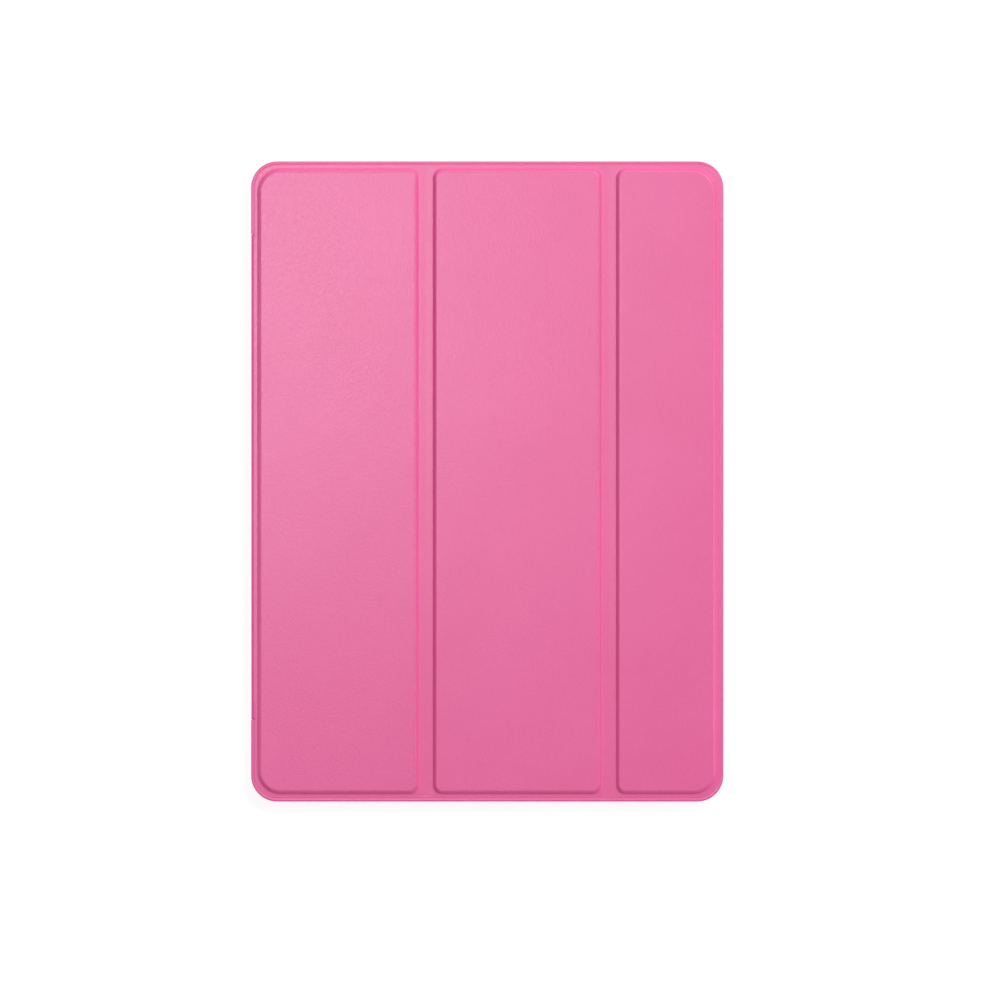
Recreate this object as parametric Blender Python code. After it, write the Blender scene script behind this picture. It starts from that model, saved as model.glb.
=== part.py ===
"""Trifold leather case for an eleven-inch tablet: a hard tray with a folding cover.

The closed case lies on its back. +Z points out of the front cover, +Y towards the tablet's top
edge, and the spine runs along the -X edge. The origin is the centre of the base. Every length
below is in millimetres, and mm() turns it into metres.

The outer leather and the lining are each one sheet on the real case. Here each is cut at the
panels' feet into rigid stretches and fold strips, because every stretch moves with its own body.
"""

import math

import bmesh
import bpy
from mathutils import Matrix

# The tablet that the case holds
TABLET_WIDTH = 178.5
TABLET_LENGTH = 247.6
TABLET_THICK = 6.1
TABLET_CORNER = 7.6
FIT = 0.2  # clearance on each side of the tablet

# Tray
WALL = 1.3
FLOOR = 1.8
LIP = 0.8  # how far, and how thick, the corner lips reach over the tablet
LIP_REACH = 22.0  # length of a lip along each side of its corner
TRAY_BOTTOM_ROUND = 1.2
TRAY_MIDDLE_X = 0.45  # the tray sits off centre to make room for the spine

# Cover
COVER_HALF_X = 92.8
COVER_HALF_Y = 125.8
COVER_CORNER = 10.2
SKIN = 0.8
LINING = 0.4
BOARD = 1.5
GLUE = 0.1  # gap left for each glue line
COVER_GAP = 0.3  # between the tray's rim and the closed cover

# Raised panels, by the x of their feet; the fold strips fill the spaces between them
FOOT_Y = 123.0
PANEL_FEET = ((-90.4, -26.8), (-21.5, 45.1), (50.4, 90.2))
SLOPE = 1.7
OUTER_CORNER = 7.6
FOLD_CORNER = 2.2
STRIP_GAP = 0.1

# Spine, with a leather bend at the tray and another at the cover
SPINE_LOW_Y = -93.6
SPINE_HIGH_Y = 97.1
SPINE_BOARD = 0.8
BEND = 1.6  # outer radius of both bends
TONGUE_LENGTH = 29.0
TONGUE_CORNER = 5.0
RECESS = 1.0  # depth of the tray's recess for the tongue

# Heights that follow
RIM_Z = FLOOR + TABLET_THICK + LIP
LINING_Z = RIM_Z + COVER_GAP
MARGIN_LOW_Z = LINING_Z + LINING + 2 * GLUE
MARGIN_TOP_Z = MARGIN_LOW_Z + SKIN
BOARD_Z = LINING_Z + LINING + GLUE
TOP_Z = BOARD_Z + BOARD + GLUE + SKIN
AXIS_LIFT = 0.15  # fold axes run this far above the raised panels
ARC_STEPS = 8

PINK = (0.80, 0.18, 0.40)
PINK_SHELL = (0.78, 0.22, 0.42)
LINING_PINK = (0.72, 0.42, 0.52)
BOARD_GREY = (0.30, 0.29, 0.28)
MAGNET_GREY = (0.56, 0.57, 0.58)

COLLECTION = bpy.data.collections.new("tablet_case")
CUTTERS = bpy.data.collections.new("cutters")


def mm(value):
    """Millimetres to metres."""
    return value * 0.001


def clear_scene():
    for obj in list(bpy.data.objects):
        bpy.data.objects.remove(obj, do_unlink=True)
    bpy.context.scene.collection.children.link(COLLECTION)
    bpy.context.scene.collection.children.link(CUTTERS)


def material(name, colour, roughness, metallic=0.0):
    mat = bpy.data.materials.new(name)
    mat.use_nodes = True
    shader = mat.node_tree.nodes["Principled BSDF"]
    shader.inputs["Base Color"].default_value = (*colour, 1.0)
    shader.inputs["Roughness"].default_value = roughness
    shader.inputs["Metallic"].default_value = metallic
    return mat


def outline(x0, x1, y0, y1, radii=(0.0, 0.0, 0.0, 0.0)):
    """Corner-rounded rectangle, anticlockwise; radii run low-left, low-right, high-right, high-left."""
    signs = ((1, 1), (-1, 1), (-1, -1), (1, -1))
    corners = ((x0, y0), (x1, y0), (x1, y1), (x0, y1))
    points = []
    for number, ((x, y), (sx, sy), radius) in enumerate(zip(corners, signs, radii)):
        if radius <= 0.0:
            points.append((x, y))
            continue
        start = math.pi + number * math.pi / 2
        for step in range(ARC_STEPS + 1):
            angle = start + step * math.pi / 2 / ARC_STEPS
            points.append(
                (x + sx * radius + radius * math.cos(angle), y + sy * radius + radius * math.sin(angle))
            )
    return points


def new_object(name, bm, mat=None):
    """Make the object from a closed bmesh; without a material it is a cutter."""
    bmesh.ops.recalc_face_normals(bm, faces=bm.faces)
    mesh = bpy.data.meshes.new(name)
    bm.to_mesh(mesh)
    bm.free()
    obj = bpy.data.objects.new(name, mesh)
    if mat is None:
        CUTTERS.objects.link(obj)
        obj.hide_render = True
        obj.display_type = "WIRE"
    else:
        mesh.materials.append(mat)
        COLLECTION.objects.link(obj)
    return obj


def slab(name, points, low, high, mat=None):
    """A flat outline pulled up from z = low to z = high."""
    bm = bmesh.new()
    face = bm.faces.new([bm.verts.new((mm(x), mm(y), mm(low))) for x, y in points])
    pulled = bmesh.ops.extrude_face_region(bm, geom=[face])
    top = [item for item in pulled["geom"] if isinstance(item, bmesh.types.BMVert)]
    bmesh.ops.translate(bm, verts=top, vec=(0.0, 0.0, mm(high - low)))
    return new_object(name, bm, mat)


def loft(name, sections, mat=None):
    """A solid through outlines that have the same number of points: [(points, z), ...]."""
    bm = bmesh.new()
    rings = [[bm.verts.new((mm(x), mm(y), mm(z))) for x, y in points] for points, z in sections]
    bm.faces.new(rings[0])
    bm.faces.new(rings[-1])
    count = len(rings[0])
    for lower, upper in zip(rings, rings[1:]):
        for n in range(count):
            after = (n + 1) % count
            bm.faces.new((lower[n], lower[after], upper[after], upper[n]))
    return new_object(name, bm, mat)


def strip(name, profile, low_y, high_y, mat):
    """A profile in the XZ plane pulled from y = low_y to y = high_y."""
    bm = bmesh.new()
    face = bm.faces.new([bm.verts.new((mm(x), mm(low_y), mm(z))) for x, z in profile])
    pulled = bmesh.ops.extrude_face_region(bm, geom=[face])
    far = [item for item in pulled["geom"] if isinstance(item, bmesh.types.BMVert)]
    bmesh.ops.translate(bm, verts=far, vec=(0.0, mm(high_y - low_y), 0.0))
    return new_object(name, bm, mat)


def box(name, x0, x1, y0, y1, z0, z1, mat=None):
    bm = bmesh.new()
    bmesh.ops.create_cube(bm, size=1.0)
    bmesh.ops.scale(bm, verts=bm.verts, vec=(mm(x1 - x0), mm(y1 - y0), mm(z1 - z0)))
    middle = (mm((x0 + x1) / 2), mm((y0 + y1) / 2), mm((z0 + z1) / 2))
    bmesh.ops.translate(bm, verts=bm.verts, vec=middle)
    return new_object(name, bm, mat)


def disc(name, x, y, z0, z1, radius, mat=None):
    bm = bmesh.new()
    bmesh.ops.create_cone(
        bm,
        cap_ends=True,
        segments=24,
        radius1=mm(radius),
        radius2=mm(radius),
        depth=mm(z1 - z0),
    )
    bmesh.ops.translate(bm, verts=bm.verts, vec=(mm(x), mm(y), mm((z0 + z1) / 2)))
    return new_object(name, bm, mat)


def boolean(target, tool, operation="DIFFERENCE"):
    change = target.modifiers.new(tool.name, "BOOLEAN")
    change.operation = operation
    change.solver = "EXACT"
    change.object = tool


def turn_upright(obj, side):
    """Stand a slab drawn in XY up into the XZ plane (side 'y') or the YZ plane (side 'x')."""
    turn = Matrix.Rotation(math.pi / 2, 4, "X")
    if side == "x":
        turn = Matrix.Rotation(math.pi / 2, 4, "Z") @ turn
    obj.data.transform(turn)


def bend_profile(centre_x, centre_z, outer, thick, start, end):
    """Quarter-round strip section from angle start to angle end, in degrees."""
    angles = [math.radians(start + (end - start) * n / ARC_STEPS) for n in range(ARC_STEPS + 1)]
    outside = [(centre_x + outer * math.cos(a), centre_z + outer * math.sin(a)) for a in angles]
    inner = outer - thick
    inside = [(centre_x + inner * math.cos(a), centre_z + inner * math.sin(a)) for a in angles]
    return outside + inside[::-1]


# --- tray ----------------------------------------------------------------------------------------


def side_slot(name, side, along, width, height, corner, wall_at):
    """Rounded slot through one tray wall, centred on the tablet's thickness."""
    middle_z = FLOOR + TABLET_THICK / 2
    shape = outline(
        along - width / 2,
        along + width / 2,
        middle_z - height / 2,
        middle_z + height / 2,
        (corner,) * 4,
    )
    tool = slab(name, shape, -2.5, 2.5)
    turn_upright(tool, side)
    offset = (0.0, mm(wall_at), 0.0) if side == "y" else (mm(wall_at), 0.0, 0.0)
    tool.data.transform(Matrix.Translation(offset))
    return tool


def make_tray(mat):
    half_x = TABLET_WIDTH / 2 + FIT
    half_y = TABLET_LENGTH / 2 + FIT
    left, right = TRAY_MIDDLE_X - half_x, TRAY_MIDDLE_X + half_x
    round_in = TABLET_CORNER + FIT
    outer = outline(
        left - WALL, right + WALL, -half_y - WALL, half_y + WALL, (round_in + WALL,) * 4
    )
    small = outline(
        left - WALL + TRAY_BOTTOM_ROUND,
        right + WALL - TRAY_BOTTOM_ROUND,
        -half_y - WALL + TRAY_BOTTOM_ROUND,
        half_y + WALL - TRAY_BOTTOM_ROUND,
        (round_in + WALL - TRAY_BOTTOM_ROUND,) * 4,
    )
    halfway = outline(
        left - WALL + TRAY_BOTTOM_ROUND * 0.29,
        right + WALL - TRAY_BOTTOM_ROUND * 0.29,
        -half_y - WALL + TRAY_BOTTOM_ROUND * 0.29,
        half_y + WALL - TRAY_BOTTOM_ROUND * 0.29,
        (round_in + WALL - TRAY_BOTTOM_ROUND * 0.29,) * 4,
    )
    tray = loft(
        "tray",
        [
            (small, 0.0),
            (halfway, TRAY_BOTTOM_ROUND * 0.29),
            (outer, TRAY_BOTTOM_ROUND),
            (outer, RIM_Z),
        ],
        mat,
    )
    pocket = outline(left, right, -half_y, half_y, (round_in,) * 4)
    boolean(tray, slab("pocket", pocket, FLOOR, RIM_Z - LIP))
    mouth = outline(left + LIP, right - LIP, -half_y + LIP, half_y - LIP, (round_in - LIP,) * 4)
    boolean(tray, slab("mouth", mouth, RIM_Z - LIP - 0.5, RIM_Z + 1.0))
    long_sides = box(
        "long_sides",
        left,
        right,
        -half_y + LIP_REACH,
        half_y - LIP_REACH,
        RIM_Z - LIP - 0.4,
        RIM_Z + 1.1,
    )
    boolean(tray, long_sides)
    short_sides = box(
        "short_sides",
        left + LIP_REACH,
        right - LIP_REACH,
        -half_y,
        half_y,
        RIM_Z - LIP - 0.3,
        RIM_Z + 1.2,
    )
    boolean(tray, short_sides)

    camera = outline(49.0, 83.0, 83.0, 117.0, (9.0,) * 4)
    boolean(tray, slab("camera_hole", camera, -1.0, FLOOR + 1.0))
    recess_edge = left + TONGUE_LENGTH + 0.3
    recess = outline(
        left - WALL - 3.0,
        recess_edge,
        SPINE_LOW_Y - 0.3,
        SPINE_HIGH_Y + 0.3,
        (0.0, TONGUE_CORNER + 0.3, TONGUE_CORNER + 0.3, 0.0),
    )
    boolean(tray, slab("tongue_recess", recess, -1.0, RECESS))

    foot_wall = -half_y - WALL / 2
    head_wall = half_y + WALL / 2
    boolean(tray, side_slot("port_hole", "y", TRAY_MIDDLE_X, 15.0, 5.4, 2.2, foot_wall))
    for hand, offset in (("left", -56.0), ("right", 56.0)):
        for end, wall in (("foot", foot_wall), ("head", head_wall)):
            if (hand, end) == ("right", "head"):
                continue
            name = f"speaker_hole_{hand}_{end}"
            boolean(tray, side_slot(name, "y", TRAY_MIDDLE_X + offset, 22.0, 2.6, 1.2, wall))
    boolean(tray, side_slot("power_hole", "y", 62.0, 18.0, 5.0, 2.0, head_wall))
    boolean(tray, side_slot("volume_hole", "x", 78.0, 30.0, 5.0, 2.0, right + WALL / 2))
    return tray


# --- leather, lining and boards ------------------------------------------------------------------


def panel_radii(number, inset):
    """Corner radii of a raised field's outline, inset from its top edge; negative grows it."""
    fold = max(FOLD_CORNER - inset, 0.3)
    free = max(OUTER_CORNER - inset, 0.3)
    if number == 1:
        return (free, fold, fold, free)
    if number == 3:
        return (fold, free, free, fold)
    return (fold,) * 4


def field(number, inset):
    """Outline of raised panel 1, 2 or 3, inset from the edge of its flat top."""
    left, right = PANEL_FEET[number - 1]
    move = SLOPE + inset
    return outline(
        left + move,
        right - move,
        -FOOT_Y + move,
        FOOT_Y - move,
        panel_radii(number, inset),
    )


def margin(number, shrink=0.0):
    """Outline of the flat sheet that panel 1, 2 or 3 is cut from."""
    left = -COVER_HALF_X + shrink if number == 1 else PANEL_FEET[number - 1][0] - 0.05
    right = COVER_HALF_X - shrink if number == 3 else PANEL_FEET[number - 1][1] + 0.05
    corner = COVER_CORNER - shrink
    radii = {1: (corner, 0.0, 0.0, corner), 2: (0.0,) * 4, 3: (0.0, corner, corner, 0.0)}
    half_y = COVER_HALF_Y - shrink
    return outline(left, right, -half_y, half_y, radii[number])


def clear_bend(piece, name, to_x):
    """Cut panel 1's sheet back where the spine's bend takes its place."""
    tool = box(
        name,
        -COVER_HALF_X - 1.0,
        to_x,
        SPINE_LOW_Y - 0.2,
        SPINE_HIGH_Y + 0.2,
        LINING_Z - 1.0,
        TOP_Z,
    )
    boolean(piece, tool)


def make_panel_skin(number, mat):
    """Leather over a board: a flat margin, sloped sides and a flat raised field."""
    skin = slab(f"panel_{number}_skin", margin(number), MARGIN_LOW_Z, MARGIN_TOP_Z, mat)
    raised = loft(
        f"raised_{number}",
        [
            (field(number, -SLOPE), MARGIN_LOW_Z + 0.3),
            (field(number, -SLOPE), MARGIN_TOP_Z - 0.02),
            (field(number, 0.0), TOP_Z),
        ],
    )
    boolean(skin, raised, "UNION")
    # the leather keeps its thickness up the slope, so the hollow under it is a little narrower
    side = SKIN * math.tan(math.radians(20.7))
    hollow = loft(
        f"hollow_{number}",
        [
            (field(number, side - SLOPE), MARGIN_LOW_Z - 1.0),
            (field(number, side - SLOPE), MARGIN_LOW_Z + 0.02),
            (field(number, side), TOP_Z - SKIN),
        ],
    )
    boolean(skin, hollow)
    if number == 1:
        clear_bend(skin, "skin_bend_space", -COVER_HALF_X + BEND + STRIP_GAP / 2)
    return skin


def make_panel_lining(number, mat):
    lining = slab(
        f"panel_{number}_lining", margin(number, 0.6), LINING_Z, LINING_Z + LINING, mat
    )
    if number == 1:
        clear_bend(lining, "lining_bend_space", -COVER_HALF_X + 3.05)
    return lining


def make_board(number, pockets, mat):
    board = slab(f"panel_{number}_board", field(number, 0.5), BOARD_Z, BOARD_Z + BOARD, mat)
    for pocket in pockets:
        boolean(board, pocket)
    return board


def make_fold(number, skin_mat, lining_mat):
    """The leather and lining strips between panel number and the next one."""
    middle = fold_x(number)
    half = PANEL_FEET[number][0] - middle - 0.05 - STRIP_GAP
    y = COVER_HALF_Y
    low, high = middle - half, middle + half
    skin = box(f"fold_{number}_skin", low, high, -y, y, MARGIN_LOW_Z, MARGIN_TOP_Z, skin_mat)
    y -= 0.6
    top = LINING_Z + LINING
    lining = box(f"fold_{number}_lining", low, high, -y, y, LINING_Z, top, lining_mat)
    return skin, lining


def fold_x(number):
    """X of the fold between panel number and the next one."""
    return (PANEL_FEET[number - 1][1] + PANEL_FEET[number][0]) / 2


# --- spine ---------------------------------------------------------------------------------------


def bend_centre(which):
    """(x, z) that the leather's bend turns about, at the 'tray' or at the 'cover'."""
    x = -COVER_HALF_X + BEND
    return (x, GLUE + BEND) if which == "tray" else (x, MARGIN_TOP_Z - BEND)


def bend_axis(which):
    """(x, z) of a bend's hinge: the point about which a quarter turn opens the bend out flat."""
    x, z = bend_centre(which)
    reach = math.pi / 4 * (BEND - SKIN / 2)
    return (x - reach, z - reach) if which == "tray" else (x - reach, z + reach)


def make_spine(skin_mat, lining_mat, board_mat):
    low_z = bend_centre("tray")[1]
    high_z = bend_centre("cover")[1]
    gap = STRIP_GAP / 2
    x = -COVER_HALF_X
    y = (SPINE_LOW_Y, SPINE_HIGH_Y)
    skin = box("spine_skin", x, x + SKIN, *y, low_z + gap, high_z - gap, skin_mat)
    x += SKIN + GLUE
    board_y = (SPINE_LOW_Y + 1.5, SPINE_HIGH_Y - 1.5)
    board = box("spine_board", x, x + SPINE_BOARD, *board_y, low_z + 0.6, high_z - 0.7, board_mat)
    x += SPINE_BOARD + GLUE
    inset = 0.5
    lining_y = (SPINE_LOW_Y + inset, SPINE_HIGH_Y - inset)
    fold_z = LINING_Z + LINING - LINING * 3
    lining = box("spine_lining", x, x + LINING, *lining_y, low_z + 0.3, fold_z - gap, lining_mat)
    turn = bend_profile(x + LINING * 3, fold_z, LINING * 3, LINING, 180.0, 90.0)
    fold_lining = strip("front_fold_lining", turn, *lining_y, lining_mat)
    return skin, board, lining, fold_lining


def make_bend(name, which, start, mat):
    """One of the leather's two quarter-round bends, from its start angle to 90 degrees less."""
    x, z = bend_centre(which)
    turn = bend_profile(x, z, BEND, SKIN, start, start - 90.0)
    return strip(name, turn, SPINE_LOW_Y, SPINE_HIGH_Y, mat)


def make_tongue(mat):
    """The end of the leather that is glued into the recess in the tray's back."""
    start = -COVER_HALF_X + BEND + STRIP_GAP / 2
    end = TRAY_MIDDLE_X - TABLET_WIDTH / 2 - FIT + TONGUE_LENGTH
    shape = outline(
        start, end, SPINE_LOW_Y, SPINE_HIGH_Y, (0.0, TONGUE_CORNER, TONGUE_CORNER, 0.0)
    )
    return slab("tongue_skin", shape, GLUE, GLUE + SKIN, mat)


# --- magnets -------------------------------------------------------------------------------------

MAGNET_THICK = 1.0
MAGNET_FIT = 0.1
BAR = (6.0, 28.0)
DISC_RADIUS = 4.0
CLOSING_X = 83.5
STAND_X = -80.5
MAGNET_Y = 92.0
SLEEP_Y = 40.0


def bar_magnet(name, x, y, mat):
    """A bar magnet and the cutter for its pocket in the board above it."""
    low = BOARD_Z + 0.05
    half_x, half_y = BAR[0] / 2, BAR[1] / 2
    magnet = box(
        name, x - half_x, x + half_x, y - half_y, y + half_y, low, low + MAGNET_THICK, mat
    )
    half_x += MAGNET_FIT
    half_y += MAGNET_FIT
    pocket = box(
        f"{name}_pocket",
        x - half_x,
        x + half_x,
        y - half_y,
        y + half_y,
        BOARD_Z - 0.5,
        low + MAGNET_THICK + MAGNET_FIT,
    )
    return magnet, pocket


def disc_magnet(name, x, y, mat):
    low = BOARD_Z + 0.05
    magnet = disc(name, x, y, low, low + MAGNET_THICK, DISC_RADIUS, mat)
    top = low + MAGNET_THICK + MAGNET_FIT
    pocket = disc(f"{name}_pocket", x, y, BOARD_Z - 0.5, top, DISC_RADIUS + 2 * MAGNET_FIT)
    return magnet, pocket


# --- assembly ------------------------------------------------------------------------------------


def axis_empty(name, x, z, parent=None):
    """An empty on a joint's axis; the pieces that the joint moves hang from it."""
    empty = bpy.data.objects.new(name, None)
    COLLECTION.objects.link(empty)
    if parent is None:
        empty.location = (mm(x), 0.0, mm(z))
    else:
        empty.parent = parent
        px, pz = parent["axis_xz"]
        empty.location = (mm(x - px), 0.0, mm(z - pz))
    empty["axis_xz"] = (x, z)
    return empty


def hang(empty, *pieces):
    """Parent pieces to a joint's empty without moving them."""
    x, z = empty["axis_xz"]
    for piece in pieces:
        piece.parent = empty
        piece.matrix_parent_inverse = Matrix.Translation((-mm(x), 0.0, -mm(z)))


def shade(obj):
    obj.data.shade_smooth()
    obj.data.set_sharp_from_angle(angle=math.radians(30.0))


def main():
    clear_scene()
    leather = material("pink_leather", PINK, 0.45)
    shell = material("pink_shell", PINK_SHELL, 0.40)
    microfibre = material("pink_microfibre", LINING_PINK, 0.95)
    board = material("stiffener_board", BOARD_GREY, 0.80)
    magnet = material("nickel_magnet", MAGNET_GREY, 0.30, 1.0)

    make_tray(shell)
    make_tongue(leather)
    make_bend("back_fold_skin", "tray", 270.0, leather)
    spine_axis = axis_empty("spine_axis", *bend_axis("tray"))
    hang(spine_axis, *make_spine(leather, microfibre, board))
    hang(spine_axis, make_bend("front_fold_skin", "cover", 180.0, leather))

    magnets = {1: [], 2: [], 3: []}
    for end, y in (("top", MAGNET_Y), ("bottom", -MAGNET_Y)):
        magnets[1].append(bar_magnet(f"stand_magnet_{end}", STAND_X, y, magnet))
        magnets[3].append(bar_magnet(f"closing_magnet_{end}", CLOSING_X, y, magnet))
    magnets[3].append(disc_magnet("sleep_magnet", CLOSING_X, SLEEP_Y, magnet))

    fold_z = TOP_Z + AXIS_LIFT
    cover_axis = axis_empty("cover_axis", *bend_axis("cover"), spine_axis)
    fold_1_axis = axis_empty("fold_1_axis", fold_x(1), fold_z, cover_axis)
    fold_2_axis = axis_empty("fold_2_axis", fold_x(2), fold_z, fold_1_axis)
    for number, axis in ((1, cover_axis), (2, fold_1_axis), (3, fold_2_axis)):
        pockets = [pocket for _, pocket in magnets[number]]
        hang(axis, make_panel_skin(number, leather), make_panel_lining(number, microfibre))
        hang(axis, make_board(number, pockets, board))
        hang(axis, *(piece for piece, _ in magnets[number]))
    for number, axis in ((1, cover_axis), (2, fold_1_axis)):
        hang(axis, *make_fold(number, leather, microfibre))

    for obj in COLLECTION.objects:
        if obj.type == "MESH":
            shade(obj)


main()
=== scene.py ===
"""Looks of the trifold tablet case: leather cover, microfibre lining, moulded tray and studio.

Lengths are in millimetres until mm() turns them into metres. +Z points out of the front cover,
+Y towards the tablet's top edge, and the spine runs along the -X edge.
"""

import math
from dataclasses import dataclass

import bmesh
import bpy
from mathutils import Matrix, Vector

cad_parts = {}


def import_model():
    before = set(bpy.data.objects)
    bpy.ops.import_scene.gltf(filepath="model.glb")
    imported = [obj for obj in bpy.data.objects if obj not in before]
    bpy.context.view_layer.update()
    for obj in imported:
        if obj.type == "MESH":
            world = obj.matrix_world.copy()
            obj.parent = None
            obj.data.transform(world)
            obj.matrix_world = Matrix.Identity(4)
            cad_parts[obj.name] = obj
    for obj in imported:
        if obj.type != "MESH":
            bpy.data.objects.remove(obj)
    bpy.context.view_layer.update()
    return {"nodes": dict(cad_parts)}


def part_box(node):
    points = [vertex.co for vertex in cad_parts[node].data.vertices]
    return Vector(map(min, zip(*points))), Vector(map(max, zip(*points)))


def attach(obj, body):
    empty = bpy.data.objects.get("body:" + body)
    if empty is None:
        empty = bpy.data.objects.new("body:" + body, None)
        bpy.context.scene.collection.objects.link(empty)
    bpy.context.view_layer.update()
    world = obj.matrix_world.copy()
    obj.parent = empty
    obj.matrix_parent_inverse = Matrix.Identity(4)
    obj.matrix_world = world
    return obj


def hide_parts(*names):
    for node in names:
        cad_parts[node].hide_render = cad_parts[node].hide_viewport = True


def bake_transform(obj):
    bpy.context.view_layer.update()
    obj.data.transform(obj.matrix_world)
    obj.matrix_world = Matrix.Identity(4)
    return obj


# Leather over the boards
SLOPE_RUN = 1.1  # from the foot of a board's slope to its top edge, seen from the front
FOOT_SET_IN = 0.2  # the visible foot sits this far inside the CAD foot
SHOULDER = 1.0  # radius over the top edge
CREASE = 0.5  # radius at the foot
HOLD = 0.3  # width of the flat ring that keeps the shading of a round off the flat
FREE_CORNER = 7.6  # corner radius of a raised field's top edge on the case's outside
FOLD_CORNER = 2.2  # the same beside a fold
FOOT_TO_TOP = 1.7  # CAD foot to CAD top edge

# Rim and fold strips of the cover
COVER_CORNER = 10.2
RIM = 2.1  # width of the band that carries the press line and the cut edge
BEND_CUT = 1.6  # the spine's bend starts this far in from the cover's edge
PRESS_LINE = 1.3  # centre of the press line, in from the edge
PRESS_HALF = 0.22  # half the press line's width
PRESS_DEPTH = 0.06
PRESS_STEPS = 4  # steps across it
STRIP_DIP = 0.03  # the leather sags this much in the middle of a fold strip

# Lining
LINING_SET_IN = 0.6  # the lining's edge lies this far inside the leather's
LINING_RIM = 2.9  # width of the band along its edge
LINING_CUT = 2.45  # where the spine takes over on panel 1, in from the lining's edge
LINING_RISE = 0.19  # round the boards the lining is pressed up onto the leather
LINING_RAMP = (-1.4, 0.2)  # where that rise starts and ends, out from a field's top edge

# Spine and tongue
SPINE_GAP = 0.06  # between the spine's ends and the cover's edge beyond them
SQUARENESS = 3.0  # superellipse power of the spine's upper bend, where 2 is round
TONGUE_CORNER = 5.0
END_TURN = 80.0  # degrees that the round of a cut end turns through

# Tray and boards
TRAY_EDGE = 0.25  # radius on the tray's moulded edges
TRAY_EDGE_STEPS = 3  # faces across that radius
SAME_PLACE = 0.002  # points closer than this are one
SAME_PLANE = 1.0  # degrees between faces below which they are one
BOARD_INSET = 0.5  # the boards stop this far inside a field's top edge
SHARP_ANGLE = 35.0  # degrees between faces above which an edge counts as sharp

# Mesh density
CORNER_STEPS = 12  # round each corner of a panel
LONG_STEPS = 24  # along the spine's side of a panel
CROSS_STEPS = 8  # across a panel
STRIP_STEPS = 12  # across a fold strip or a bend
ROUND_STEPS = 8  # round a cut edge or over a slope's shoulder
FLOOR_STEPS = 64  # round the studio floor
LEG = 3.0  # length of the short steps each side of a square corner
GRID_INSET = 9.5  # from a field's edge to its inner grid
END_INSET = 12.0  # from a field's corner to the first fixed place on its short side
LEAST_CORNER = 0.15  # smallest corner radius of a ring

# Camera
PHOTO_WIDTH = 392.5  # width seen at the cover
LENS = 135.0  # focal length
SENSOR = 36.0  # sensor width
VIEW_CENTRE = (5.0, -7.3)  # point of the cover in the middle of the view

# Studio, with radiances and with places and sizes in metres
AIR = 0.05  # the light from all round
KEY = 12.1  # the main lamp
HAZE = 27.5  # the lamp that the cover mirrors
LOW = 2.8  # the lamps that the raised fields' slopes mirror
FLOOR_GLOW = 0.83
FLOOR_RINGS = (0.5, 1.0, 2.0)  # radii of the flat part's rings
BACKDROP_START = 3.0  # radius at which the floor starts to curve up
BACKDROP_ROUND = 2.2  # radius of that curve
BACKDROP_ANGLE = 55.0  # degrees that it turns through
BACKDROP_STEPS = 12


def mm(value):
    """Millimetres to metres."""
    return value * 0.001


def edges(node):
    """Lowest and highest corner of a CAD node, in millimetres."""
    low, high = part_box(node)
    return low * 1000.0, high * 1000.0


def extent(nodes):
    """Lowest and highest corner round several CAD nodes, in millimetres."""
    corners = [corner for node in nodes for corner in edges(node)]
    low = Vector(min(c[axis] for c in corners) for axis in range(3))
    high = Vector(max(c[axis] for c in corners) for axis in range(3))
    return low, high


def spread(start, end, steps):
    """steps + 1 even values from start to end."""
    return [start + (end - start) * n / steps for n in range(steps + 1)]


# --- materials -----------------------------------------------------------------------------------


def add(tree, kind, inputs=None, **settings):
    """Add a node, set its properties, and set or link its inputs."""
    made = tree.nodes.new(kind)
    for name, value in settings.items():
        setattr(made, name, value)
    for name, value in (inputs or {}).items():
        if isinstance(value, bpy.types.NodeSocket):
            tree.links.new(value, made.inputs[name])
        else:
            made.inputs[name].default_value = value
    return made


def new_material(name):
    """A material with its node tree and its shader."""
    mat = bpy.data.materials.new(name)
    mat.use_nodes = True
    return mat, mat.node_tree, mat.node_tree.nodes["Principled BSDF"]


def rest_place(tree):
    """Each point's place at rest, which stays with the surface when it bends."""
    return add(tree, "ShaderNodeAttribute", attribute_name="rest").outputs["Vector"]


def object_place(tree):
    """Each point's place on a piece that keeps its shape."""
    return add(tree, "ShaderNodeTexCoord").outputs["Object"]


def noise(tree, place, size, detail=2.0, rough=0.5):
    """Noise whose blobs are about size millimetres across, from 0 to 1."""
    inputs = {"Vector": place, "Scale": 1000.0 / size, "Detail": detail, "Roughness": rough}
    return add(tree, "ShaderNodeTexNoise", inputs).outputs["Fac"]


def remap(tree, value, low, high, to_low, to_high):
    """Carry a value from the range low to high onto the range to_low to to_high."""
    inputs = {"Value": value, "From Min": low, "From Max": high}
    inputs.update({"To Min": to_low, "To Max": to_high})
    return add(tree, "ShaderNodeMapRange", inputs).outputs["Result"]


def combine(tree, operation, first, second):
    """One sum or product of two values."""
    return add(tree, "ShaderNodeMath", {0: first, 1: second}, operation=operation).outputs[0]


def weighted_sum(tree, first, first_share, second, second_share):
    """The weighted sum of two values."""
    one = combine(tree, "MULTIPLY", first, first_share)
    two = combine(tree, "MULTIPLY", second, second_share)
    return combine(tree, "ADD", one, two)


def between(tree, share, first, second):
    """Mix two colours."""
    made = add(tree, "ShaderNodeMix", {"Factor": share}, data_type="RGBA")
    for socket, colour in zip([s for s in made.inputs if s.type == "RGBA"], (first, second)):
        socket.default_value = (*colour, 1.0)
    return next(s for s in made.outputs if s.type == "RGBA")


def bump(tree, height, depth, strength=1.0):
    """A relief of that depth in millimetres."""
    inputs = {"Height": height, "Distance": mm(depth), "Strength": strength}
    return add(tree, "ShaderNodeBump", inputs).outputs["Normal"]


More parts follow.
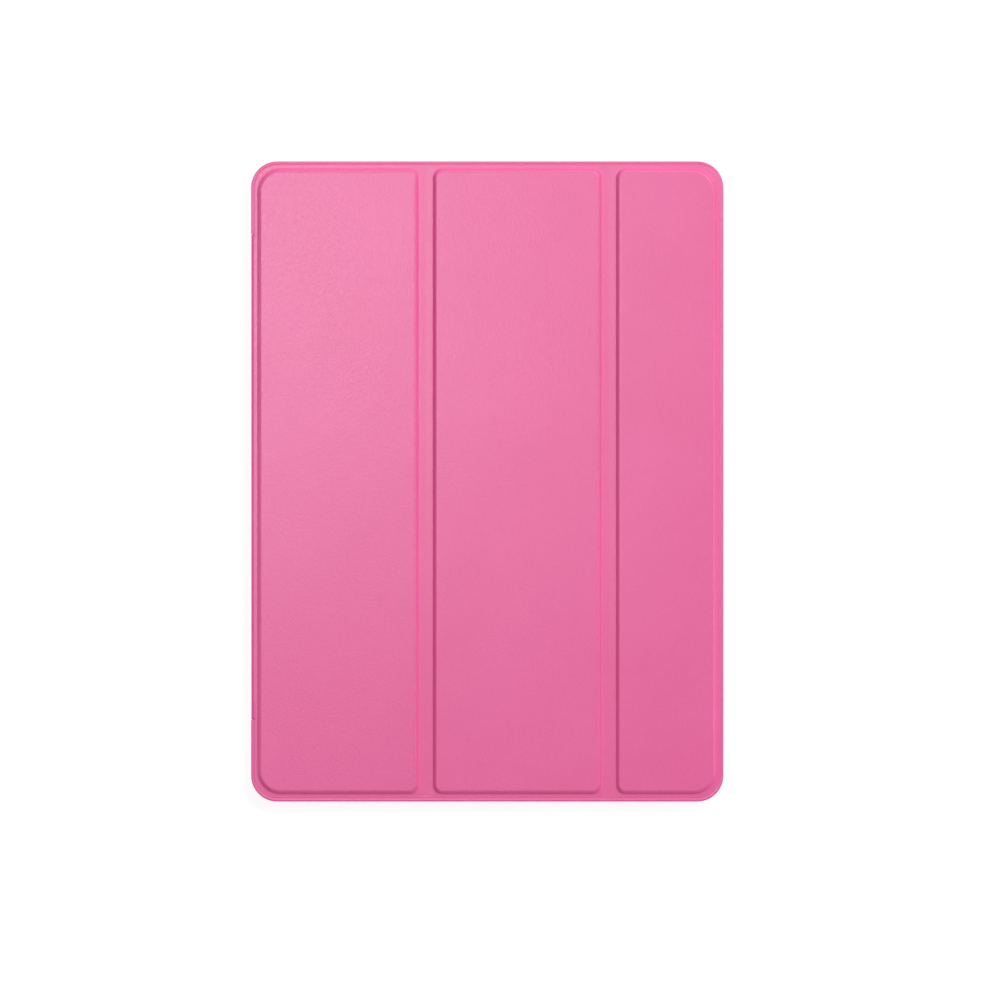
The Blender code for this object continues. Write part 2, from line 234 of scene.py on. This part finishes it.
def pebbles(tree, place, size, wander):
    """Rounded grain cells about size millimetres across with wandering outlines, from 0 to 1."""
    inputs = {"Vector": place, "Scale": 1000.0 / (size * 1.5), "Detail": 1.0}
    drift = add(tree, "ShaderNodeTexNoise", inputs).outputs["Color"]
    inputs = {0: drift, 1: (0.5, 0.5, 0.5)}
    centred = add(tree, "ShaderNodeVectorMath", inputs, operation="SUBTRACT")
    inputs = {0: centred.outputs[0], "Scale": mm(wander)}
    moved = add(tree, "ShaderNodeVectorMath", inputs, operation="SCALE")
    at = add(tree, "ShaderNodeVectorMath", {0: place, 1: moved.outputs[0]}, operation="ADD")
    inputs = {"Vector": at.outputs[0], "Scale": 1000.0 / size}
    cells = add(tree, "ShaderNodeTexVoronoi", inputs, feature="F1").outputs["Distance"]
    return remap(tree, cells, 0.1, 0.75, 1.0, 0.0)


def leather():
    """Satin synthetic leather with a fine pressed grain, its colour a little darker in the grain's
    hollows as painted shade.
    """
    mat, tree, shader = new_material("pink_leather")
    place = rest_place(tree)
    grain = pebbles(tree, place, 0.62, 0.45)
    fine = noise(tree, place, 0.22)
    height = weighted_sum(tree, grain, 1.0, fine, 0.4)
    # Colour: random tone from the 38 mm noise, plus painted shade that darkens the grain's hollows.
    tone = weighted_sum(tree, noise(tree, place, 38.0, 3.0), 0.7, grain, 0.3)
    share = remap(tree, tone, 0.25, 0.85, 0.0, 1.0)
    colour = between(tree, share, (0.865, 0.126, 0.352), (0.915, 0.150, 0.402))
    tree.links.new(colour, shader.inputs["Base Color"])
    rough = remap(tree, noise(tree, place, 0.8, 3.0), 0.3, 0.7, 0.29, 0.34)
    tree.links.new(rough, shader.inputs["Roughness"])
    tree.links.new(bump(tree, height, 0.02), shader.inputs["Normal"])
    return mat


def cut_edge():
    """The cut edge of the leather, duller than its face and without its grain; its colour is a
    little darker than the face's, as painted shade along the rounded edge.
    """
    mat, tree, shader = new_material("pink_edge_painted_shade")
    place = rest_place(tree)
    share = remap(tree, noise(tree, place, 1.6, 4.0), 0.3, 0.7, 0.0, 1.0)
    # Painted shade: a little darker than the leather's colour, to darken the rounded cut edge.
    colour = between(tree, share, (0.80, 0.115, 0.31), (0.87, 0.135, 0.36))
    tree.links.new(colour, shader.inputs["Base Color"])
    shader.inputs["Roughness"].default_value = 0.62
    tree.links.new(bump(tree, noise(tree, place, 0.4, 3.0), 0.03), shader.inputs["Normal"])
    return mat


def microfibre():
    """Brushed microfibre: short nap, faint brush marks and a soft sheen."""
    mat, tree, shader = new_material("pale_microfibre")
    place = rest_place(tree)
    brushed = noise(tree, place, 16.0, 4.0, 0.6)
    nap = noise(tree, place, 0.35, 3.0, 0.7)
    tone = weighted_sum(tree, brushed, 0.6, nap, 0.4)
    share = remap(tree, tone, 0.3, 0.7, 0.0, 1.0)
    colour = between(tree, share, (0.68, 0.33, 0.44), (0.82, 0.47, 0.58))
    tree.links.new(colour, shader.inputs["Base Color"])
    tree.links.new(bump(tree, nap, 0.12, 0.8), shader.inputs["Normal"])
    shader.inputs["Roughness"].default_value = 0.95
    shader.inputs["Specular IOR Level"].default_value = 0.2
    shader.inputs["Sheen Weight"].default_value = 0.5
    shader.inputs["Sheen Roughness"].default_value = 0.45
    shader.inputs["Sheen Tint"].default_value = (1.0, 0.80, 0.88, 1.0)
    return mat


def shell_plastic():
    """Matt moulded plastic with a spark-eroded texture and faint flow marks."""
    mat, tree, shader = new_material("pink_shell_plastic")
    place = object_place(tree)
    texture = noise(tree, place, 0.28, 3.0, 0.6)
    share = remap(tree, noise(tree, place, 1.5, 5.0), 0.3, 0.7, 0.0, 1.0)
    colour = between(tree, share, (0.72, 0.115, 0.30), (0.76, 0.130, 0.33))
    tree.links.new(colour, shader.inputs["Base Color"])
    rough = remap(tree, noise(tree, place, 1.0, 4.0), 0.3, 0.7, 0.38, 0.46)
    tree.links.new(rough, shader.inputs["Roughness"])
    tree.links.new(bump(tree, texture, 0.03), shader.inputs["Normal"])
    return mat


def grey_board():
    """Pressed grey board with fibres and flecks."""
    mat, tree, shader = new_material("grey_board")
    place = object_place(tree)
    fibres = noise(tree, place, 0.8, 6.0, 0.7)
    share = remap(tree, fibres, 0.35, 0.65, 0.0, 1.0)
    colour = between(tree, share, (0.22, 0.21, 0.20), (0.36, 0.35, 0.33))
    tree.links.new(colour, shader.inputs["Base Color"])
    tree.links.new(bump(tree, fibres, 0.08), shader.inputs["Normal"])
    shader.inputs["Roughness"].default_value = 0.85
    return mat


def nickel():
    """Satin nickel plating with faint scuffs."""
    mat, tree, shader = new_material("satin_nickel")
    place = object_place(tree)
    scuffs = noise(tree, place, 1.2, 5.0, 0.7)
    tree.links.new(remap(tree, scuffs, 0.3, 0.7, 0.22, 0.42), shader.inputs["Roughness"])
    share = remap(tree, noise(tree, place, 4.0), 0.3, 0.7, 0.0, 1.0)
    colour = between(tree, share, (0.52, 0.51, 0.49), (0.60, 0.59, 0.57))
    tree.links.new(colour, shader.inputs["Base Color"])
    shader.inputs["Metallic"].default_value = 1.0
    return mat


def studio_white():
    """Matt white paper that glows a little."""
    mat, tree, shader = new_material("studio_white")
    share = noise(tree, object_place(tree), 400.0)
    colour = between(tree, share, (0.30, 0.30, 0.30), (0.32, 0.32, 0.32))
    tree.links.new(colour, shader.inputs["Base Color"])
    shader.inputs["Roughness"].default_value = 0.9
    shader.inputs["Emission Color"].default_value = (1.0, 1.0, 1.0, 1.0)
    shader.inputs["Emission Strength"].default_value = FLOOR_GLOW
    return mat


# --- mesh helpers --------------------------------------------------------------------------------


def outline(x0, x1, y0, y1, radii, stops):
    """Rounded rectangle as (x, y, normal x, normal y), anticlockwise from the low-left corner.

    Every outline has the same number of points, so that any two can be bridged: each corner has
    CORNER_STEPS + 1, and the sides carry the fixed places in stops = (xs, ys). A corner of radius
    0 is square, with its points spread along both sides.
    """
    xs, ys = stops
    corners = ((x0, y0, 1, 1), (x1, y0, -1, 1), (x1, y1, -1, -1), (x0, y1, 1, -1))
    sides = (
        [(x, y0, 0.0, -1.0) for x in xs],
        [(x1, y, 1.0, 0.0) for y in ys],
        [(x, y1, 0.0, 1.0) for x in reversed(xs)],
        [(x0, y, -1.0, 0.0) for y in reversed(ys)],
    )
    points = []
    for number, ((x, y, sx, sy), radius, side) in enumerate(zip(corners, radii, sides)):
        start = math.pi * (1.0 + number / 2)
        for step in range(CORNER_STEPS + 1):
            angle = start + math.pi / 2 * step / CORNER_STEPS
            nx, ny = math.cos(angle), math.sin(angle)
            if radius > 0.0:
                points.append((x + radius * (sx + nx), y + radius * (sy + ny), nx, ny))
            else:
                points.append(square_step(x, y, sx, sy, number, step))
        points += side
    return points


def square_step(x, y, sx, sy, number, step):
    """One point of a square corner: half lie on the side before it, half on the side after it."""
    half = CORNER_STEPS // 2
    away = LEG * abs(step - half) / half
    on_cross_side = (step <= half) == (number % 2 == 1)
    if step == half or on_cross_side:
        return (x + sx * away, y, 0.0, -float(sy))
    return (x, y + sy * away, -float(sx), 0.0)


def middle_of(corner, stops):
    """Index of the middle point of corner 0 to 3 in an outline."""
    before = (0, len(stops[0]), len(stops[0]) + len(stops[1]), 2 * len(stops[0]) + len(stops[1]))
    return corner * (CORNER_STEPS + 1) + CORNER_STEPS // 2 + before[corner]


def put(bm, points, z):
    """Vertices at (x, y) points and one height."""
    return [bm.verts.new((mm(p[0]), mm(p[1]), mm(z))) for p in points]


def bridge(bm, first, second, closed=False, index=0):
    """Quads between two rows of as many vertices."""
    count = len(first)
    for n in range(count if closed else count - 1):
        after = (n + 1) % count
        face = bm.faces.new((first[n], first[after], second[after], second[n]))
        face.material_index = index


def slope_profile(drop, under):
    """(distance out from the top edge, depth below it) down a board's slope, with rounds.

    under shifts the line inwards by that thickness, which gives the leather's inner face.
    """
    lean = math.atan2(drop, SLOPE_RUN)
    start = FOOT_TO_TOP - FOOT_SET_IN - SLOPE_RUN
    top_cut = SHOULDER * math.tan(lean / 2)
    foot_cut = CREASE * math.tan(lean / 2)
    line = [(-top_cut - HOLD, 0.0, 0.0)]
    for step in range(ROUND_STEPS + 1):
        turn = lean * step / ROUND_STEPS
        line.append((-top_cut + SHOULDER * math.sin(turn), SHOULDER * (1 - math.cos(turn)), turn))
    for step in range(ROUND_STEPS // 2 + 1):
        turn = lean * (1 - 2 * step / ROUND_STEPS)
        out = SLOPE_RUN + foot_cut - CREASE * math.sin(turn)
        line.append((out, drop - CREASE * (1 - math.cos(turn)), turn))
    return [(start + d - under * math.sin(a), z + under * math.cos(a)) for d, z, a in line]


def make_object(name, bm, mats):
    """Close the bmesh into an object that remembers each point's place at rest."""
    bmesh.ops.recalc_face_normals(bm, faces=bm.faces)
    mesh = bpy.data.meshes.new(name)
    bm.to_mesh(mesh)
    bm.free()
    for mat in mats:
        mesh.materials.append(mat)
    mesh.shade_smooth()
    mesh.set_sharp_from_angle(angle=math.radians(SHARP_ANGLE))
    keep_rest(mesh)
    obj = bpy.data.objects.new(name, mesh)
    bpy.context.scene.collection.objects.link(obj)
    return obj


def keep_rest(mesh):
    """Store each point's place, which the materials read wherever the piece moves."""
    rest = mesh.attributes.new("rest", "FLOAT_VECTOR", "POINT")
    rest.data.foreach_set("vector", [c for v in mesh.vertices for c in v.co])


# --- cover ---------------------------------------------------------------------------------------


@dataclass
class Layer:
    """One layer of the cover. Each face is (line down the board's slope, height of the field)."""

    set_in: float  # the layer's edge lies this far inside the leather's
    rim: float  # width of the band along its edge
    outer: tuple
    inner: tuple
    section: list  # (distance in from the edge, height) from outer face to inner face
    dip: float  # sag of the outer face in a fold strip


def top_edge(number):
    """x0, x1, y and the corner radii of raised panel number's top edge."""
    low, high = edges(f"panel_{number}_board")
    fold, free = FOLD_CORNER, FREE_CORNER
    radii = {1: (free, fold, fold, free), 2: (fold,) * 4, 3: (fold, free, free, fold)}[number]
    return low.x - BOARD_INSET, high.x + BOARD_INSET, high.y + BOARD_INSET, radii


def stops_for(number):
    """Places on the short and long sides that all of a panel's outlines share."""
    x0, x1, _, _ = top_edge(number)
    low, high = edges("spine_skin")
    ys = spread(low.y - SPINE_GAP, high.y + SPINE_GAP, LONG_STEPS)
    return spread(x0 + END_INSET, x1 - END_INSET, CROSS_STEPS), ys


def lay_field(bm, number, line, z_field, stops):
    """Rings down the slope and a grid over the raised field; returns the outermost ring."""
    x0, x1, y, radii = top_edge(number)
    rings = []
    for out, depth in line:
        sizes = [max(r + out, LEAST_CORNER) for r in radii]
        ring = outline(x0 - out, x1 + out, -y - out, y + out, sizes, stops)
        rings.append(put(bm, ring, z_field - depth))
    for inner, outer in zip(rings, rings[1:]):
        bridge(bm, inner, outer, closed=True)
    fill_field(bm, rings[0], number, z_field - line[0][1], stops)
    return rings[-1]


def fill_field(bm, ring, number, z, stops):
    """Grid inside the innermost ring, with a fan at each corner."""
    x0, x1, y, _ = top_edge(number)
    xs = [x0 + GRID_INSET, *stops[0], x1 - GRID_INSET]
    ys = [-y + GRID_INSET, *stops[1], y - GRID_INSET]
    rows = [put(bm, [(x, at) for x in xs], z) for at in ys]
    for low, high in zip(rows, rows[1:]):
        bridge(bm, low, high)
    sides = (
        rows[0],
        [row[-1] for row in rows],
        rows[-1][::-1],
        [row[0] for row in rows][::-1],
    )
    start = 0
    for side in sides:
        arc = ring[start : start + CORNER_STEPS + 1]
        for one, two in zip(arc, arc[1:]):
            bm.faces.new((one, two, side[0]))
        start += CORNER_STEPS
        stretch = [ring[(start + n) % len(ring)] for n in range(len(side))]
        bridge(bm, stretch, side)
        start += len(side) - 1


def fold_edges(number):
    """Low and high x of the fold strip between panel number and the next one."""
    low, high = edges(f"fold_{number}_skin")
    return low.x, high.x


def border(number, layer, stops):
    """Outline where a panel meets the rim band and the fold strips."""
    low, high = extent(["panel_1_skin", "panel_3_skin"])
    inset = layer.set_in + layer.rim
    x0 = low.x + inset if number == 1 else fold_edges(number - 1)[1]
    x1 = high.x - inset if number == 3 else fold_edges(number)[0]
    y = high.y - inset
    corner = COVER_CORNER - inset
    radii = {1: (corner, 0.0, 0.0, corner), 2: (0.0,) * 4, 3: (0.0, corner, corner, 0.0)}
    return outline(x0, x1, -y, y, radii[number], stops)


def lay_strip(bm, first, number, z, dip):
    """Columns of vertices across a fold strip, starting from the panel's edge."""
    x0, x1 = fold_edges(number)
    ys = [vert.co.y * 1000.0 for vert in first]
    columns = [first]
    for x in spread(x0, x1, STRIP_STEPS)[1:]:
        sag = dip * math.sin(math.pi * (x - x0) / (x1 - x0)) ** 2
        columns.append(put(bm, [(x, y) for y in ys], z - sag))
    for one, two in zip(columns, columns[1:]):
        bridge(bm, one, two)
    return columns


def rim_rows(bm, path, layer):
    """Rows of vertices round the edge, from the outer face to the inner one.

    path holds (outer vertex, inner vertex, normal x, normal y) along the band.
    """
    rows = [[step[0] for step in path]]
    for inset, z in layer.section:
        row = []
        for vert, _, nx, ny in path:
            out = mm(layer.rim - inset)
            row.append(bm.verts.new((vert.co.x + nx * out, vert.co.y + ny * out, mm(z))))
        rows.append(row)
    rows.append([step[1] for step in path])
    return rows


def close_rim(bm, rows, open_from=None, open_to=None):
    """Faces of the rim band; from open_from to open_to only its inner part, closed by a wall."""
    # The cut edge's faces take the second material, whose darker colour is painted shade.
    painted = range(len(rows) // 2 - ROUND_STEPS // 2, len(rows) // 2 + ROUND_STEPS // 2)
    for level, (one, two) in enumerate(zip(rows, rows[1:])):
        index = 1 if level in painted else 0
        whole = open_from is None or level in (0, len(rows) - 2)
        if whole:
            bridge(bm, one, two, index=index)
        else:
            bridge(bm, one[: open_from + 1], two[: open_from + 1], index=index)
            bridge(bm, one[open_to:], two[open_to:], index=index)
    if open_from is not None:
        bridge(bm, rows[1][open_from : open_to + 1], rows[-2][open_from : open_to + 1])
        bm.faces.new([row[open_from] for row in rows[1:-1]])
        bm.faces.new([row[open_to] for row in rows[1:-1]])


def cap(bm, outer_line, first_rows, inner_line, last_rows):
    """The flat face where a layer is cut across, next to the following piece."""
    bm.faces.new([*outer_line, *first_rows[1:-1], *inner_line[::-1], *last_rows[-2:0:-1]])


def lay_faces(bm, number, layer, line, middles, stops):
    """Outer and inner face of a cover piece; returns their border rings and fold strips."""
    rims, strips = [], []
    for (slope, z_field), dip in ((layer.outer, layer.dip), (layer.inner, 0.0)):
        z_rim = z_field - slope[-1][1]
        rim = put(bm, line, z_rim)
        bridge(bm, lay_field(bm, number, slope, z_field, stops), rim, closed=True)
        rims.append(rim)
        if number < 3:
            right = rim[middles[1] : middles[2] + 1]
            strips.append(lay_strip(bm, right, number, z_rim, dip))
    return rims, strips


def strip_ends(strips):
    """Steps of the rim's path along the lower and the upper end of a fold strip, if any."""
    if not strips:
        return [], []
    pairs = list(zip(*strips))[1:]
    foot = [(outer[0], inner[0], 0.0, -1.0) for outer, inner in pairs]
    head = [(outer[-1], inner[-1], 0.0, 1.0) for outer, inner in reversed(pairs)]
    return foot, head


def run_round(steps, start, end):
    """The steps from start to end, which go on from the last one to the first."""
    last = end if end > start else end + len(steps)
    return [steps[n % len(steps)] for n in range(start, last + 1)]


def rim_paths(number, steps, middles, foot, head):
    """The rim's path, in one or two runs that each end at the piece's cut faces."""
    if number == 1:
        return [head + run_round(steps, middles[2], middles[1]) + foot]
    if number == 2:
        low = run_round(steps, middles[0], middles[1]) + foot
        high = head + run_round(steps, middles[2], middles[3])
        return [low, high]
    return [run_round(steps, middles[0], middles[3])]


def make_cover_piece(name, number, layer, mats):
    """A closed shell: one layer over panel number, with the fold strip after it."""
    stops = stops_for(number)
    line = border(number, layer, stops)
    middles = [middle_of(corner, stops) for corner in range(4)]
    bm = bmesh.new()
    rims, strips = lay_faces(bm, number, layer, line, middles, stops)
    steps = [(one, two, at[2], at[3]) for one, two, at in zip(*rims, line)]
    foot, head = strip_ends(strips)
    runs = [rim_rows(bm, path, layer) for path in rim_paths(number, steps, middles, foot, head)]
    spine_end = len(head) + len(steps) - middles[2]
    spine = (spine_end - len(stops[1]), spine_end - 1) if number == 1 else ()
    for rows in runs:
        close_rim(bm, rows, *spine)
    first, last = runs[0], runs[-1]
    if number < 3:
        right_ends = [row[0] for row in last], [row[-1] for row in first]
        cap(bm, strips[0][-1], right_ends[0], strips[1][-1], right_ends[1])
    if number > 1:
        left = run_round(steps, middles[3], middles[0])
        left_ends = [row[0] for row in first], [row[-1] for row in last]
        cap(bm, [step[0] for step in left], left_ends[0], [step[1] for step in left], left_ends[1])
    return make_object(name, bm, mats)


def leather_layer():
    """The outer leather: pressed over the boards, with a press line and a rounded cut edge."""
    low, high = edges("fold_1_skin")
    field_z = edges("panel_2_skin")[1].z
    drop = field_z - high.z
    thick = high.z - low.z
    section = [(BEND_CUT, high.z)]
    for turn in spread(0.0, math.pi, PRESS_STEPS):
        depth = PRESS_DEPTH * math.sin(turn) ** 2
        section.append((PRESS_LINE + PRESS_HALF * math.cos(turn), high.z - depth))
    section += round_edge(low.z, high.z)
    offsets = spread(-PRESS_HALF, PRESS_HALF, PRESS_STEPS)
    section += [(PRESS_LINE + offset, low.z) for offset in offsets]
    section.append((BEND_CUT, low.z))
    outer = (slope_profile(drop, 0.0), field_z)
    inner = (slope_profile(drop, thick), field_z)
    return Layer(0.0, RIM, outer, inner, section, STRIP_DIP)


def round_edge(low_z, high_z):
    """Half-round edge of a sheet, from its upper face to its lower one."""
    radius = (high_z - low_z) / 2
    line = []
    for turn in spread(0.0, math.pi, ROUND_STEPS):
        line.append((radius - radius * math.sin(turn), low_z + radius + radius * math.cos(turn)))
    return line


def lining_layer():
    """The lining: flat under the boards and pressed up onto the leather round them."""
    low, high = edges("fold_1_lining")
    start, end = LINING_RAMP
    line = [(start - HOLD, 0.0)]
    for share in spread(0.0, 1.0, ROUND_STEPS):
        rise = LINING_RISE * share * share * (3.0 - 2.0 * share)
        line.append((start + (end - start) * share, -rise))
    section = [(LINING_CUT, high.z + LINING_RISE)]
    section += round_edge(low.z + LINING_RISE, high.z + LINING_RISE)
    section.append((LINING_CUT, low.z + LINING_RISE))
    return Layer(LINING_SET_IN, LINING_RIM, (line, high.z), (line, low.z), section, 0.0)


# --- spine ---------------------------------------------------------------------------------------


def arc_line(centre, radius, start, end):
    """(x, z, normal x, normal z) along an arc in the XZ plane, in degrees."""
    line = []
    for angle in spread(math.radians(start), math.radians(end), STRIP_STEPS):
        nx, nz = math.cos(angle), math.sin(angle)
        line.append((centre[0] + radius * nx, centre[1] + radius * nz, nx, nz))
    return line


def pressed_bend(centre, radius):
    """The spine's upper bend, from its left to its top: squarer than round, as it is pressed."""
    line = []
    for turn in spread(0.0, math.pi / 2, STRIP_STEPS):
        x = math.cos(turn) ** (2 / SQUARENESS)
        z = math.sin(turn) ** (2 / SQUARENESS)
        nx, nz = x ** (SQUARENESS - 1), z ** (SQUARENESS - 1)
        size = math.hypot(nx, nz)
        line.append((centre[0] - radius * x, centre[1] + radius * z, -nx / size, nz / size))
    return line


def make_band(name, line, thick, low_y, high_y, mats, corner=0.0):
    """A sheet that follows a line in the XZ plane from low_y to high_y, with rounded cut ends.

    line runs over its outer face. With a corner radius, the line's first end is a free end with
    rounded corners.
    """
    bm = bmesh.new()
    rows = []
    half = thick / 2
    turns = spread(0.0, math.radians(END_TURN), ROUND_STEPS // 2)
    ends = [(half * (1 - math.sin(turn)), math.cos(turn)) for turn in turns]
    places = [(0.0, inset, share) for inset, share in reversed(ends)]
    places += [(n / LONG_STEPS, 0.0, 1.0) for n in range(1, LONG_STEPS)]
    places += [(1.0, -inset, share) for inset, share in ends]
    for along, inset, share in places:
        outer, inner = [], []
        for x, z, nx, nz in line:
            back = corner_back(abs(x - line[0][0]), corner)
            y = low_y + back + along * (high_y - low_y - 2 * back) + inset
            for side, reach in ((outer, half - half * share), (inner, half + half * share)):
                side.append(bm.verts.new((mm(x - nx * reach), mm(y), mm(z - nz * reach))))
        rows.append(outer + inner[::-1])
    for number, (one, two) in enumerate(zip(rows, rows[1:])):
        # The rounded cut ends take the second material, whose darker colour is painted shade.
        painted = number < len(ends) - 1 or number > len(rows) - len(ends) - 1
        bridge(bm, one, two, closed=True, index=1 if painted and len(mats) > 1 else 0)
    count = len(line)
    for row in (rows[0], rows[-1]):
        bridge(bm, row[:count], row[: count - 1 : -1])
    return make_object(name, bm, mats)


def corner_back(along, radius):
    """How far a rounded corner draws the side in at a distance along it from the free end."""
    if along >= radius:
        return 0.0
    return radius - math.sqrt(radius * radius - (radius - along) ** 2)


def bend_centre(node):
    """Centre (x, z) and outer radius of a quarter-round bend node at the case's left edge."""
    low, high = edges(node)
    radius = high.x - low.x
    centre_z = high.z if node.startswith("back") else low.z
    return (high.x, centre_z), radius


def make_spine(mats):
    """Spine leather with the bend that carries it onto panel 1."""
    low, high = edges("spine_skin")
    centre, radius = bend_centre("front_fold_skin")
    start_z = bend_centre("back_fold_skin")[0][1]
    line = [(low.x, z, -1.0, 0.0) for z in spread(start_z, centre[1], STRIP_STEPS)[:-1]]
    line += pressed_bend(centre, radius)
    piece = make_band("leather_spine", line, high.x - low.x, low.y, high.y, mats)
    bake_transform(piece)
    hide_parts("spine_skin", "front_fold_skin")


def make_tongue(mats):
    """Leather tongue glued under the tray, with the bend that carries it onto the spine."""
    low, high = edges("tongue_skin")
    centre, radius = bend_centre("back_fold_skin")
    turns = spread(0.0, math.pi / 2, ROUND_STEPS)
    ease = [high.x - TONGUE_CORNER * (1 - math.cos(turn)) for turn in turns]
    flat = [*ease, *spread(high.x - TONGUE_CORNER, centre[0], STRIP_STEPS)[1:-1]]
    line = [(x, low.z, 0.0, -1.0) for x in flat]
    line += arc_line(centre, radius, 270.0, 180.0)
    piece = make_band("leather_tongue", line, high.z - low.z, low.y, high.y, mats, TONGUE_CORNER)
    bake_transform(piece)
    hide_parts("tongue_skin", "back_fold_skin")


def make_spine_lining(mats):
    """Lining inside the spine, with the turn that carries it onto panel 1's lining."""
    low, high = edges("spine_lining")
    _, top = edges("front_fold_lining")
    centre = (top.x, top.z - (top.x - low.x))
    thick = high.x - low.x
    line = [(low.x, z, -1.0, 0.0) for z in spread(low.z, centre[1], STRIP_STEPS)[:-1]]
    line += arc_line(centre, top.x - low.x, 180.0, 90.0)
    piece = make_band("lining_spine", line, thick, low.y, high.y, mats)
    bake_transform(piece)
    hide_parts("spine_lining", "front_fold_lining")


# --- tray ----------------------------------------------------------------------------------------


def make_tray(node, mats):
    """The moulded tray: the CAD shape with every sharp edge rounded, as a mould leaves it."""
    bm = bmesh.new()
    bm.from_mesh(node.data)
    same_plane = math.radians(SAME_PLANE)
    bmesh.ops.remove_doubles(bm, verts=bm.verts, dist=mm(SAME_PLACE))
    bmesh.ops.dissolve_limit(bm, angle_limit=same_plane, verts=bm.verts, edges=bm.edges)
    mesh = bpy.data.meshes.new("tray_edges")
    bm.to_mesh(mesh)
    bm.free()
    source = bpy.data.objects.new("tray_edges", mesh)
    bpy.context.scene.collection.objects.link(source)
    soften = source.modifiers.new("round", "BEVEL")
    soften.width = mm(TRAY_EDGE)
    soften.segments = TRAY_EDGE_STEPS
    soften.limit_method = "ANGLE"
    soften.angle_limit = math.radians(SHARP_ANGLE)
    graph = bpy.context.evaluated_depsgraph_get()
    bm = bmesh.new()
    bm.from_object(source, graph)
    bpy.data.objects.remove(source)
    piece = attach(make_object("tray_shell", bm, mats), "tray")
    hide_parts("tray")


# --- studio --------------------------------------------------------------------------------------


def make_floor():
    """A pale round floor that curves up into its own backdrop."""
    profile = [(radius, 0.0) for radius in FLOOR_RINGS]
    for angle in spread(0.0, math.radians(BACKDROP_ANGLE), BACKDROP_STEPS):
        out, up = math.sin(angle), 1.0 - math.cos(angle)
        profile.append((BACKDROP_START + BACKDROP_ROUND * out, BACKDROP_ROUND * up))
    bm = bmesh.new()
    middle = bm.verts.new((0.0, 0.0, 0.0))
    turns = spread(0.0, 2 * math.pi, FLOOR_STEPS)[:-1]
    rings = []
    for radius, z in profile:
        rings.append([bm.verts.new((radius * math.cos(t), radius * math.sin(t), z)) for t in turns])
    for one, two in zip(rings[0], [*rings[0][1:], rings[0][0]]):
        bm.faces.new((middle, one, two))
    for one, two in zip(rings, rings[1:]):
        bridge(bm, one, two, closed=True)
    make_object("studio_floor", bm, [studio_white()])


def soft_box(name, place, width, height, radiance):
    """A rectangular lamp of that radiance, facing the case."""
    light = bpy.data.lights.new(name, "AREA")
    light.shape = "RECTANGLE"
    light.size, light.size_y = width, height
    light.energy = radiance * math.pi * width * height
    lamp = bpy.data.objects.new(name, light)
    lamp.location = place
    lamp.rotation_euler = Vector(place).to_track_quat("Z", "Y").to_euler()
    lamp.visible_camera = False
    bpy.context.scene.collection.objects.link(lamp)


def make_studio():
    """The floor, the light from all round and the lamps."""
    make_floor()
    world = bpy.data.worlds.new("studio_air")
    world.use_nodes = True
    background = world.node_tree.nodes["Background"]
    background.inputs["Color"].default_value = (1.0, 1.0, 1.0, 1.0)
    background.inputs["Strength"].default_value = AIR
    bpy.context.scene.world = world
    soft_box("key", (1.05, 1.20, 2.25), 1.05, 1.05, KEY)
    soft_box("haze", (-0.33, 0.27, 2.50), 0.4, 0.4, HAZE)
    soft_box("low_right", (2.6, 0.0, 1.5), 0.75, 1.95, LOW)
    soft_box("low_top", (0.0, 2.6, 1.5), 0.75, 1.95, LOW)
    bpy.context.scene.view_settings.view_transform = "Standard"


def make_camera():
    """Straight down onto the closed cover, at the photograph's framing."""
    data = bpy.data.cameras.new("camera")
    data.lens = LENS
    data.sensor_width = SENSOR
    camera = bpy.data.objects.new("camera", data)
    top = edges("panel_2_skin")[1].z
    away = PHOTO_WIDTH * LENS / SENSOR
    camera.location = (mm(VIEW_CENTRE[0]), mm(VIEW_CENTRE[1]), mm(top + away))
    bpy.context.scene.collection.objects.link(camera)
    bpy.context.scene.camera = camera


# --- assembly ------------------------------------------------------------------------------------


def make_leather(mats):
    """The outer leather of the three panels."""
    layer = leather_layer()
    for number in (1, 2, 3):
        piece = make_cover_piece(f"leather_panel_{number}", number, layer, mats)
        size = ride_over_fold(piece, number, "skin")


def make_lining(mats):
    """The lining of the three panels."""
    layer = lining_layer()
    for number in (1, 2, 3):
        piece = make_cover_piece(f"lining_panel_{number}", number, layer, mats)
        size = ride_over_fold(piece, number, "lining")


def ride_over_fold(piece, number, layer_name):
    """Attach panel 3's piece to panel 3 and bake the other pieces in place; hide the CAD nodes that
    the piece replaces.

    Returns the width and the length of the CAD nodes that the piece replaces.
    """
    nodes = [f"panel_{number}_{layer_name}"]
    if number == 3:
        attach(piece, "panel_3")
    else:
        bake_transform(piece)
        nodes.append(f"fold_{number}_{layer_name}")
    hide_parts(*nodes)
    low, high = extent(nodes)
    return high.x - low.x, high.y - low.y


def finish_cad_nodes(nodes, finishes):
    """Give the boards and magnets, which stay as CAD nodes, their materials."""
    for name, node in nodes.items():
        for word, mat in finishes.items():
            if word in name:
                for slot in node.material_slots:
                    slot.link = "OBJECT"
                    slot.material = mat


def main():
    """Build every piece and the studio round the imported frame."""
    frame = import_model()
    skin = [leather(), cut_edge()]
    lining = [microfibre()]
    make_camera()
    make_studio()
    make_leather(skin)
    make_lining(lining)
    make_spine(skin)
    make_tongue(skin)
    make_spine_lining(lining)
    make_tray(frame["nodes"]["tray"], [shell_plastic()])
    finish_cad_nodes(frame["nodes"], {"board": grey_board(), "magnet": nickel()})


main()
